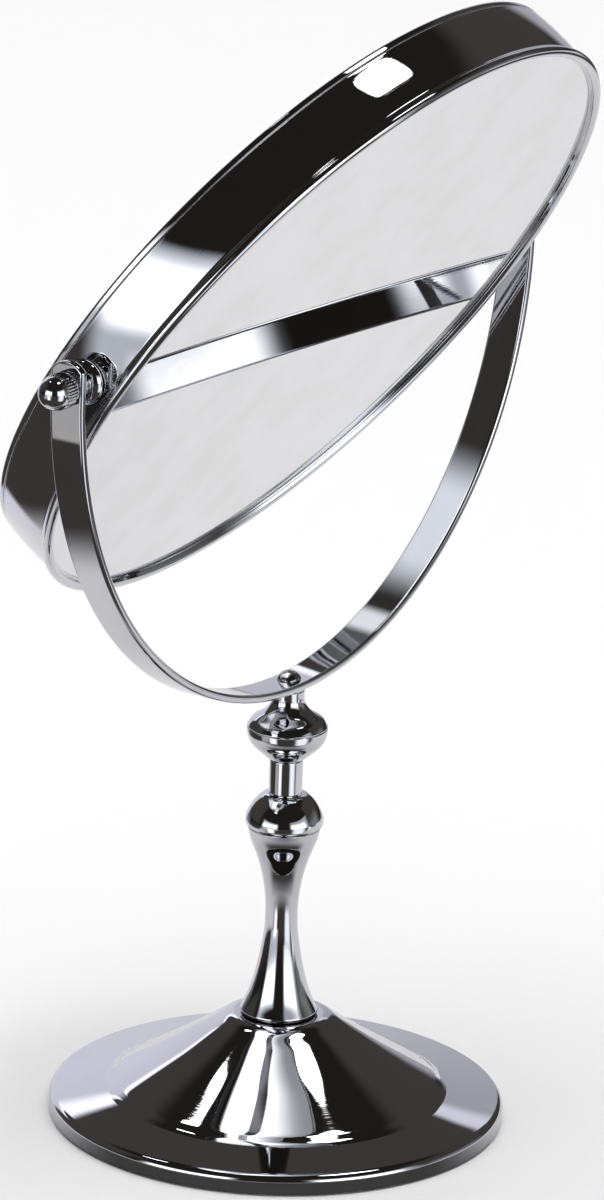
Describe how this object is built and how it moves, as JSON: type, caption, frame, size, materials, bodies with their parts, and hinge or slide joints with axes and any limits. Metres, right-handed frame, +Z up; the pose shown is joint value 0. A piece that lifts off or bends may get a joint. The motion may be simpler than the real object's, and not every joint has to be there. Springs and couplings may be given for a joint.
{
  "type": "tabletop shaving mirror",
  "caption": "Two-sided round shaving mirror that tilts in a swivelling yoke on a telescoping stem with a weighted round base.",
  "frame": {"origin": "centre of the base on the table", "axes": "+Z up; +X along the head's pivots; -Y is the way the plain glass faces"},
  "size_m": [0.2382, 0.1296, 0.3292],
  "materials": {
    "chrome": "polished",
    "mirror": "silvered glass",
    "steel": "bright drawn",
    "brass": "machined",
    "cast_iron": "as cast",
    "rubber": "matte",
    "nylon": "natural",
    "foam": "closed-cell foam"
  },
  "bodies": {
    "base": {"base_shell": "chrome", "base_weight": "cast_iron", "base_pad": "rubber", "stem_washer": "steel", "stem_nut": "brass", "stem": "chrome", "gland_bush": "nylon", "lock_collar": "chrome"},
    "column": {"telescopic_rod": "steel", "rod_end_plug": "nylon", "neck_sleeve": "chrome"},
    "yoke_frame": {"finial_bowl": "chrome", "finial_cap": "chrome", "yoke": "chrome", "yoke_screw": "chrome", "left_friction_washer": "nylon", "right_friction_washer": "nylon"},
    "mirror_head": {"rim": "chrome", "back_bezel": "chrome", "plain_glass": "mirror", "magnifying_glass": "mirror", "glass_spacer_ring": "nylon", "foam_backing": "foam", "left_stud": "steel", "right_stud": "steel", "left_stud_nut": "brass", "right_stud_nut": "brass", "left_boss": "chrome", "right_boss": "chrome", "left_bead": "chrome", "right_bead": "chrome"},
    "left_nut": {"left_thumb_nut": "chrome"},
    "right_nut": {"right_thumb_nut": "chrome"}
  },
  "joints": [
    {"name": "height_slide", "type": "slide", "parent": "base", "child": "column", "axis": [0, 0, 1], "range_m": [0, 0.066]},
    {"name": "yoke_swivel", "type": "hinge", "parent": "column", "child": "yoke_frame", "pos_m": [0, 0, 0.11], "axis": [0, 0, 1], "continuous": true},
    {"name": "head_tilt", "type": "hinge", "parent": "yoke_frame", "child": "mirror_head", "pos_m": [0, 0, 0.2396], "axis": [1, 0, 0], "continuous": true},
    {"name": "left_nut_turn", "type": "hinge", "parent": "mirror_head", "child": "left_nut", "pos_m": [-0.112, 0, 0.2396], "axis": [-1, 0, 0], "range_deg": [0, 180]},
    {"name": "right_nut_turn", "type": "hinge", "parent": "mirror_head", "child": "right_nut", "pos_m": [0.112, 0, 0.2396], "axis": [1, 0, 0], "range_deg": [0, 180]}
  ]
}
